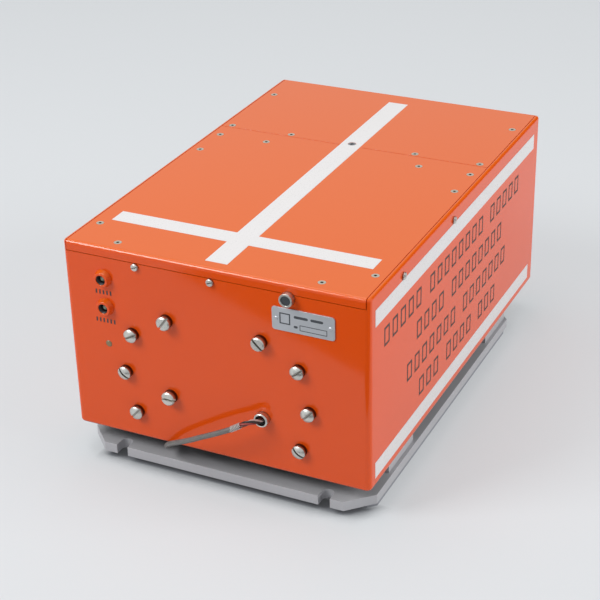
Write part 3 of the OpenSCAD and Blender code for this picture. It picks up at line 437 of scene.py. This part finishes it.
# Stencil paint: near black with a brown cast, matt, thin at its edges.
stencil_paint = surface("stencil_paint", "#3E2B27", "#4A3530", 12, 0.7, (0.5, 0.65), 0.004)
box_w, box_h, box_pitch, box_line, group_gap = 9.4, 14.4, 14.6, 1.8, 12
# Each row's height, with its start and how many boxes each of its groups has.
box_rows = {111: (24, (5, 8, 5)), 86: (84, (4, 8)), 60.5: (66, (7, 7)), 36: (90, (3, 4, 3))}
side_print = bmesh.new()
for height, (start, groups) in box_rows.items():
    foot, head = height - box_h / 2, height + box_h / 2
    for count in groups:
        for k in range(count):
            low = start + k * box_pitch
            box_outline(side_print, side_place, (low, foot), (low + box_w, head), box_line)
        start += count * box_pitch + group_gap
make_piece("side_boxes", side_print, stencil_paint, smooth=False)

# Capsule
# A hardened steel capsule with its insulation and memory hangs behind the front wall. Six domed
# slotted screws on a circle and three larger flat ones come through the front into its flange.

# Pressed fibre insulation: chalky and soft.
pressed_fibre = surface("pressed_fibre", "#D6D0C1", "#E2DCCE", 8, 0.6, (0.8, 0.95), 0.05)
# Hardened steel: dark and oiled, in slightly uneven greys.
hardened_steel = surface("hardened_steel", "#56585C", "#66686C", 15, 0.5, (0.28, 0.42), 0.004, 1.0)
dress(hardened_steel, "capsule_body", "capsule_cap")
dress(pressed_fibre, "insulation_cup", "insulation_plug")
dress(plated_steel, "capsule_cap_screws", "memory_canister")


def front_place(u, v, out):
    """On the front: u to the right, v up."""
    return spot(u, -out, v)


# The slotted heads have the same plating, with clean slots and a painted shade up their sides
# near the panel. It thins out between two distances in mm from the panel.
foot_shade_full, foot_shade_none = 2.1, 4.6
foot_shaded_steel = surface("foot_shaded_plated_steel", "#C4C3BD", "#D8D7D1", 3, 0.7, (0.26, 0.4), 0.004, 1.0)
shade_in(foot_shaded_steel, "Object", "Y", front_place(0, 0, foot_shade_none).y, front_place(0, 0, foot_shade_full).y,
         "#50382D")
soften("ring_screws", 0.1, foot_shaded_steel)
soften("clamp_screws", 0.14, foot_shaded_steel)

# Seal cup
# A turned steel cup sits over the third screw under the lip. It is filled with sealing mastic
# that is pressed in by hand.

# Sealing mastic: dark slate, slightly greasy, with small dents.
sealing_mastic = surface("sealing_mastic", "#2F3236", "#3C4045", 2, 0.9, (0.35, 0.55), 0.05)
soften("seal_cup", 0.3, plated_steel)
dress(sealing_mastic, "seal_mastic")

# Nameplate
# A small anodised plate is held by two rivets. It has a blank square, plain bars and an
# empty box in dark print.

# Anodised aluminium: silvery, with fine brush lines along the plate.
anodised_aluminium = surface("anodised_aluminium", "#C4C7CC", "#D0D3D8", 9, 0.3, (0.34, 0.48),
                             0.003, 0.85, stretch=(0.06, 1, 1))
soften("nameplate", 0.15, anodised_aluminium)
dress(anodised_aluminium, "nameplate_rivets")
plate_x, plate_z, plate_out = 69.8, 124, 0.8
blank_square, square_line = ((-17.5, -3.4), (-9.5, 5.0)), 0.9
empty_box, empty_box_line = ((-2.6, -6.2), (17.6, -1.9)), 0.5
# Each bar's left and right end, height on the plate, and thickness.
plate_bars = ((-6.8, 3.6, 3.4, 2.0), (5.4, 14.8, 3.4, 2.0), (-7.0, -4.0, -4.0, 1.8))


def plate_place(u, v, out):
    """On the nameplate: u to the right and v up from its middle."""
    return front_place(plate_x + u, plate_z + v, plate_out + out)


def bar_outline(low, high, middle, height):
    """A bar with round ends, as points in mm."""
    r = height / 2
    end_steps = 8
    half_turn = [math.pi * k / end_steps for k in range(end_steps + 1)]
    right = [(high - r + r * math.sin(a), middle - r * math.cos(a)) for a in half_turn]
    left = [(low + r - r * math.sin(a), middle + r * math.cos(a)) for a in half_turn]
    return right + left


def lay_film(bm, place, outline):
    """A thin patch of paint on a face."""
    skin(bm, [[place(u, v, out) for u, v in outline] for out in (-paint_sink, paint_t)])


plate_print = bmesh.new()
box_outline(plate_print, plate_place, *blank_square, square_line)
box_outline(plate_print, plate_place, *empty_box, empty_box_line)
for bar in plate_bars:
    lay_film(plate_print, plate_place, bar_outline(*bar))
# Etched print: grey black, flat.
etched_print = surface("etched_print", "#3A3D42", "#464A50", 4, 0.4, (0.5, 0.6), 0.002)
make_piece("nameplate_print", plate_print, etched_print, smooth=False)

# Lamps
# Two painted bezels with rounded rims hold small lamps deep in black liners, each with a row of
# short upright strokes under it. A third lamp lies nearly flush with the panel below them.
lamp_x, lamp_heights = -86, (126.4, 103.7)
soften("lamp_bezels", 0.9, orange_enamel, segments=4, sharp=50)
liner_outer_r, liner_inner_r, liner_inner_end, liner_outer_end = 3.68, 3.45, -9, 3.6
liner_sides = 48


def turned_ring(bm, place, middle, outer_r, inner_r, inner_end, outer_end, sides):
    """A short plain tube on a face, from its inner to its outer end."""
    profile = ((outer_r, inner_end), (outer_r, outer_end), (inner_r, outer_end),
               (inner_r, inner_end))
    skin(bm, [[place(middle[0] + r * math.cos(a), middle[1] + r * math.sin(a), out)
               for a in turns(sides)] for r, out in profile], closed=True)


liner = bmesh.new()
for height in lamp_heights:
    turned_ring(liner, front_place, (lamp_x, height), liner_outer_r, liner_inner_r,
                liner_inner_end, liner_outer_end, liner_sides)
make_piece("lamp_liners", liner, black_plastic)

# Lamp glass: frosted, grey green while it is off, glossy outside.
lamp_glass = surface("frosted_lamp_glass", "#7C8776", "#8F9A88", 2, 0.5, (0.2, 0.32), 0.003,
                     ior=1.5)
dress(lamp_glass, "lamps")
# Amber glass: frosted, brown while it is off.
amber_glass = surface("frosted_amber_glass", "#7A6748", "#8A7653", 2, 0.5, (0.2, 0.32), 0.003,
                      ior=1.5)
dress(amber_glass, "pilot_lamp")
stroke_counts = (5, 6)
stroke_pitch, stroke_w, stroke_h, stroke_drop = 2.9, 1.3, 3.4, 11.2


def block_outline(low, high, middle, height):
    """A plain block, as points in mm."""
    v, w = middle - height / 2, middle + height / 2
    return [(low, v), (high, v), (high, w), (low, w)]


lamp_print = bmesh.new()
for height, count in zip(lamp_heights, stroke_counts):
    for k in range(count):
        low = lamp_x + (k - count / 2) * stroke_pitch
        lay_film(lamp_print, front_place,
                 block_outline(low, low + stroke_w, height - stroke_drop, stroke_h))
make_piece("lamp_strokes", lamp_print, stencil_paint, smooth=False)

# Electronics
# Three lacquered boards on spacers stand on a tray behind the capsule, and a small one carries
# the lamps.

# Lacquered board: green lacquer over copper tracks.
lacquered_board = surface("lacquered_board", "#1C5A36", "#2A6E45", 3, 1.2, (0.25, 0.4), 0.03)
dress(lacquered_board, "lamp_board", "power_board", "processor_board", "interface_board")
dress(machined_aluminium, "board_tray")
dress(zinc_plate, "board_spacers", "board_screws", "tray_screws")

# Rear connector
# A threaded steel shell with a moulded insert is screwed to the rear wall over a gasket. A
# stud with washer and nut beside it takes the earth strap.

# Blackened steel: dark oxide with a dull metal sheen.
black_steel = surface("blackened_steel", "#3C3D41", "#4B4C50", 6, 0.5, (0.3, 0.45), 0.004, 1.0)
soften("rear_connector", 0.3, black_steel)
soften("bonding_nut", 0.25, zinc_plate)
dress(zinc_plate, "bonding_stud", "connector_screws")
dress(black_plastic, "connector_insert")
dress(black_rubber, "connector_gasket")

case_d = 357
connector_place, stud_place = (-45, 82), (62, 30)


def rear_place(u, v, out):
    """On the rear: u to the right seen from the front, v up."""
    return spot(u, case_d + out, v)


def thread(place, radius, pitch, start, length, depth):
    """A helical ridge round a shaft that stands on the rear wall, fading out at its ends."""
    steps_a_turn, fade_steps, root, flank = 40, 12, 0.1, 0.35 * pitch
    count = int(length / pitch * steps_a_turn)
    rings = []
    for k in range(count + 1):
        a = 2 * math.pi * k / steps_a_turn
        out = start + k / steps_a_turn * pitch
        crest = depth * min(1.0, k / fade_steps, (count - k) / fade_steps)
        profile = ((radius - root, -flank), (radius + crest, 0), (radius - root, flank))
        rings.append([rear_place(place[0] + r * math.cos(a), place[1] + r * math.sin(a), out + step)
                      for r, step in profile])
    ridge = bmesh.new()
    skin(ridge, rings)
    return ridge


shell_thread = thread(connector_place, radius=13, pitch=2, start=6.6, length=9.6, depth=0.35)
make_piece("connector_thread", shell_thread, black_steel)
stud_thread = thread(stud_place, radius=3, pitch=1, start=6.9, length=7.6, depth=0.18)
make_piece("stud_thread", stud_thread, zinc_plate)

# Gold plated contacts: small tubes, warm and bright.
gold_plate = surface("gold_plate", "#C79A3E", "#DDB45A", 2, 0.4, (0.18, 0.28), 0.002, 1.0)
contact_outer_r, contact_inner_r, contact_inner_end, contact_outer_end = 0.78, 0.5, 6.2, 9.3
contact_sides = 16
contact_circle_r, contacts_on_circle = 5.5, 8
contact_places = [(0, 0)] + [(contact_circle_r * math.cos(a), contact_circle_r * math.sin(a))
                             for a in turns(contacts_on_circle)]
contacts = bmesh.new()
for u, v in contact_places:
    turned_ring(contacts, rear_place, (connector_place[0] + u, connector_place[1] + v),
                contact_outer_r, contact_inner_r, contact_inner_end, contact_outer_end,
                contact_sides)
make_piece("connector_contacts", contacts, gold_plate)

# Floor and light
# The part stands on a thin felt mat on a wide pale sheet. The mat is set back from the front, so
# that a dark line of shadow shows under the plate there, and a shadow painted on the sheet deepens
# it. A wide soft lamp above lights the lids, two smaller ones light the front and the right side,
# and the sheet and a pale surround fill the shadows.
mat_t, air_gap = 4.4 * mm, 0.1 * mm
mat_x, mat_y, mat_cut = 0.1142, 0.143, 0.006
sheet_r, sheet_sides, sheet_z = 9.0, 96, -mat_t - air_gap


def set_out(name, bm, material):
    """A thing of the staging from mesh data, which isn't part of the object."""
    mesh = bpy.data.meshes.new(name)
    bm.to_mesh(mesh)
    bm.free()
    mesh.materials.append(material)
    made = bpy.data.objects.new(name, mesh)
    bpy.context.scene.collection.objects.link(made)
    return made


# Matt paper: pale, faintly blue grey. Half of what the eye sees of it is its own light, so that it
# stays pale round the part. A painted shadow, in its colour and its own light, makes it dark only
# close to the plate's front edge.
matt_paper = surface("matt_paper", "#CDD1D4", "#CFD3D6", 600, 3, (0.7, 0.8), 0.0,
                     painted_shade=("#767A84", 30))
matt_paper.cycles.emission_sampling = "NONE"
sheet = bmesh.new()
sheet.faces.new([sheet.verts.new((sheet_r * math.cos(a), sheet_r * math.sin(a), sheet_z))
                 for a in turns(sheet_sides)])
set_out("floor_sheet", sheet, matt_paper)

# Grey felt: soft and dull, with short fibres.
grey_felt = surface("grey_felt", "#8E8F94", "#9A9BA0", 12, 0.6, (0.85, 0.95), 0.05)
mat = bmesh.new()
outline = [(mat_x - mat_cut, -mat_y), (mat_x, mat_cut - mat_y), (mat_x, mat_y - mat_cut),
           (mat_x - mat_cut, mat_y)]
outline += [(-x, -y) for x, y in outline]
skin(mat, [[Vector((x, y, z)) for x, y in outline] for z in (sheet_z, -air_gap)])
set_out("felt_mat", mat, grey_felt)


def seen_rays(tree):
    """A mask that is 1 for rays from the eye, in mirrors and through glass."""
    ray = add(tree, "LightPath").outputs
    seen = add(tree, "Math", {0: ray["Is Camera Ray"], 1: ray["Is Glossy Ray"]}, operation="ADD")
    seen = add(tree, "Math", {0: seen.outputs[0], 1: ray["Is Transmission Ray"]}, operation="ADD",
               use_clamp=True)
    return seen.outputs[0]


# The painted shadow line on the sheet ends where the plate's side and its left corner begin. For
# each axis: where the line is full and where it has gone, in metres.
painted_shadow_ends = {"Y": (-0.145, -0.135), "X": (-0.095, -0.105)}
darkest, palest = 0.09, 0.9
own_share = 0.5
paper = matt_paper.node_tree
pale = paper.nodes["unshaded"].outputs[0]
tone_share = pale.links[0].to_socket
place = add(paper, "SeparateXYZ", {0: add(paper, "TexCoord").outputs["Object"]})
for axis, (full, gone) in painted_shadow_ends.items():
    share = add(paper, "MapRange", {0: place.outputs[axis], 1: full, 2: gone, 3: darkest,
                                    4: palest})
    pale = add(paper, "Math", {0: pale, 1: share.outputs[0]}, operation="MAXIMUM").outputs[0]
paper.links.new(pale, tone_share)
glow = add(paper, "Emission", {"Color": linear("#E2E4E6"), "Strength": pale})
own_light = add(paper, "Math", {0: seen_rays(paper), 1: own_share}, operation="MULTIPLY")
blend = add(paper, "MixShader", {0: own_light.outputs[0],
                                 1: paper.nodes["Principled BSDF"].outputs[0], 2: glow.outputs[0]})
paper.links.new(blend.outputs[0], paper.nodes["Material Output"].inputs["Surface"])

world = bpy.data.worlds.new("pale_surround")
bpy.context.scene.world = world
world.use_nodes = True
sky = world.node_tree
sky.nodes.clear()
fill = add(sky, "Background", {"Color": linear("#F4F7FA"), "Strength": 0.36})
shown = add(sky, "Background", {"Color": linear("#DCDFE2"), "Strength": 1.0})
mixed = add(sky, "MixShader", {0: seen_rays(sky), 1: fill.outputs[0], 2: shown.outputs[0]})
add(sky, "OutputWorld", {"Surface": mixed.outputs[0]})

part_middle = Vector((0, 0, 0.1))


def soft_lamp(name, place, size, power, mirrored=True):
    """A square soft lamp aimed at the part, which gloss may show or not."""
    data = bpy.data.lights.new(name, "AREA")
    data.size = size
    data.energy = power
    made = bpy.data.objects.new(name, data)
    made.location = place
    made.rotation_euler = (part_middle - Vector(place)).to_track_quat("-Z", "Y").to_euler()
    made.visible_camera = False
    made.visible_glossy = mirrored
    bpy.context.scene.collection.objects.link(made)


soft_lamp("overhead_lamp", (-0.35, 0.25, 2.1), size=1.6, power=15)
soft_lamp("front_left_lamp", (-1.25, -1.45, 1.75), size=1.0, power=39)
soft_lamp("right_lamp", (2.3, 0.3, 1.1), size=1.4, power=38, mirrored=False)

# Two dark cards, one on the floor below the picture and one standing behind on the right, show
# only in the gloss of the front panel and of the right rim.
floor_card = ((-0.20, -0.442, 0), (0.0835, -1.082, 0), (0.8835, -0.727, 0), (0.60, -0.087, 0))
rear_card = ((0.1, 1.6, 0.0), (1.25, 1.2, 0.0), (1.25, 1.2, 1.2), (0.1, 1.6, 1.2))
cards = bmesh.new()
for corners in (floor_card, rear_card):
    cards.faces.new([cards.verts.new(p) for p in corners])
dark_cards = set_out("dark_cards", cards, black_rubber)
dark_cards.visible_camera = dark_cards.visible_diffuse = dark_cards.visible_shadow = False

# View
# The picture's tones are shown as they are.
bpy.context.scene.view_settings.view_transform = "Standard"
bpy.context.view_layer.update()
